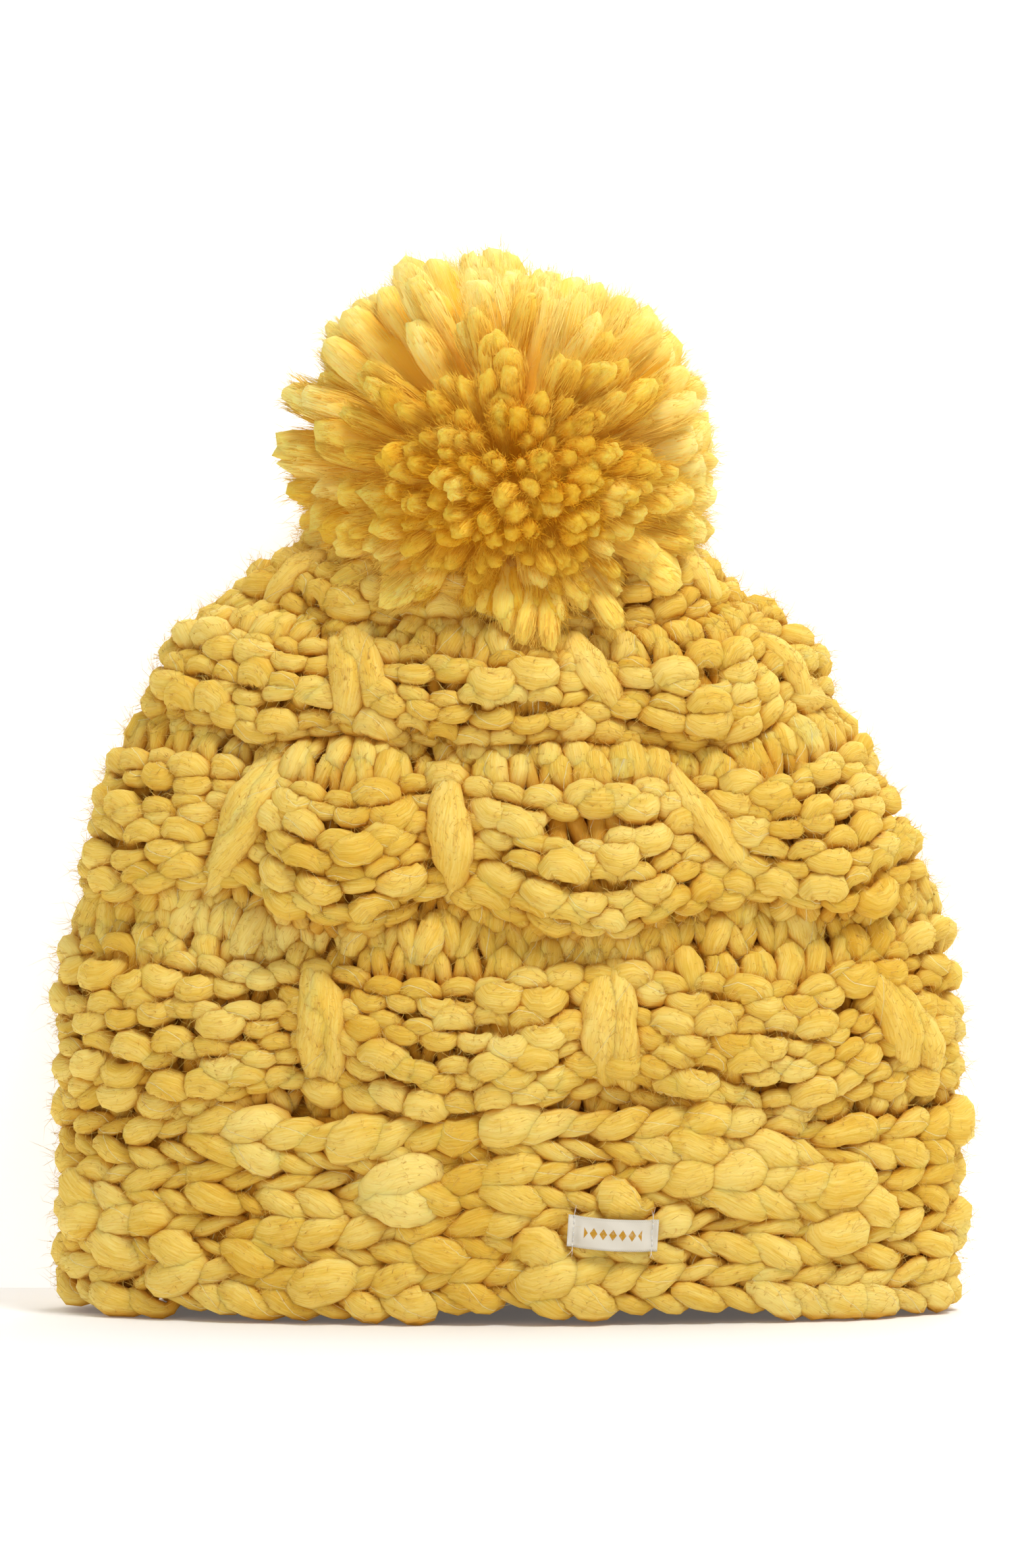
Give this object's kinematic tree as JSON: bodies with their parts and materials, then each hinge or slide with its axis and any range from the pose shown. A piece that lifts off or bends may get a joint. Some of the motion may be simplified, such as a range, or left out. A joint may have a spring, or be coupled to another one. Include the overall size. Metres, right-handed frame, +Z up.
{
  "type": "pom pom beanie",
  "caption": "Chunky knitted beanie with a sideways-knitted brim, puffed crown tiers, a fleece ear band, a woven label and a yarn pom pom that nods, sways and twists on its tie.",
  "frame": {"origin": "centre of the brim opening, level with the brim's lower edge, and the middle of the hat's footprint", "axes": "+Z up through the crown to the pom pom, -Y is the front with the woven label, +X is to the right in the front view"},
  "size_m": [0.2379, 0.1112, 0.28],
  "materials": {
    "wool_yarn": "matte thick-thin roving yarn with a fine binder thread",
    "pom_yarn": "matte cut yarn pile, fuzzy",
    "fleece": "brushed fleece",
    "sewing_thread": "spun sewing thread",
    "woven_ribbon": "satin woven ribbon",
    "label_thread": "spun sewing thread"
  },
  "bodies": {
    "hat": {"brim_band": "wool_yarn", "brim_seam_yarn": "wool_yarn", "crown_shell": "wool_yarn", "crown_seam_yarn": "wool_yarn", "join_yarn": "wool_yarn", "gather_cord": "wool_yarn", "fleece_band": "fleece", "fleece_thread_upper": "sewing_thread", "fleece_thread_lower": "sewing_thread", "logo_label": "woven_ribbon", "logo_thread_left": "label_thread", "logo_thread_right": "label_thread", "care_label_thread": "label_thread", "anchor_knot": "wool_yarn"},
    "care_label": {"care_label": "woven_ribbon"},
    "tie_tails": {"tie_tails": "wool_yarn"},
    "pom_knot": {"pom_knot": "wool_yarn"},
    "pom": {"pom_pile": "pom_yarn", "pom_tie": "wool_yarn"}
  },
  "joints": [
    {"name": "pom_twist", "type": "hinge", "parent": "hat", "child": "tie_tails", "pos_m": [0, -0.004, 0.201], "axis": [0, 0, 1], "range_deg": [-35, 35]},
    {"name": "pom_sway", "type": "hinge", "parent": "tie_tails", "child": "pom_knot", "pos_m": [0, -0.004, 0.201], "axis": [0, 1, 0], "range_deg": [-15, 15]},
    {"name": "pom_nod", "type": "hinge", "parent": "pom_knot", "child": "pom", "pos_m": [0, -0.004, 0.201], "axis": [1, 0, 0], "range_deg": [-15, 15]},
    {"name": "care_label_flip", "type": "hinge", "parent": "hat", "child": "care_label", "pos_m": [-0.1005, 0, 0.0505], "axis": [0, -1, 0], "range_deg": [0, 80]}
  ]
}
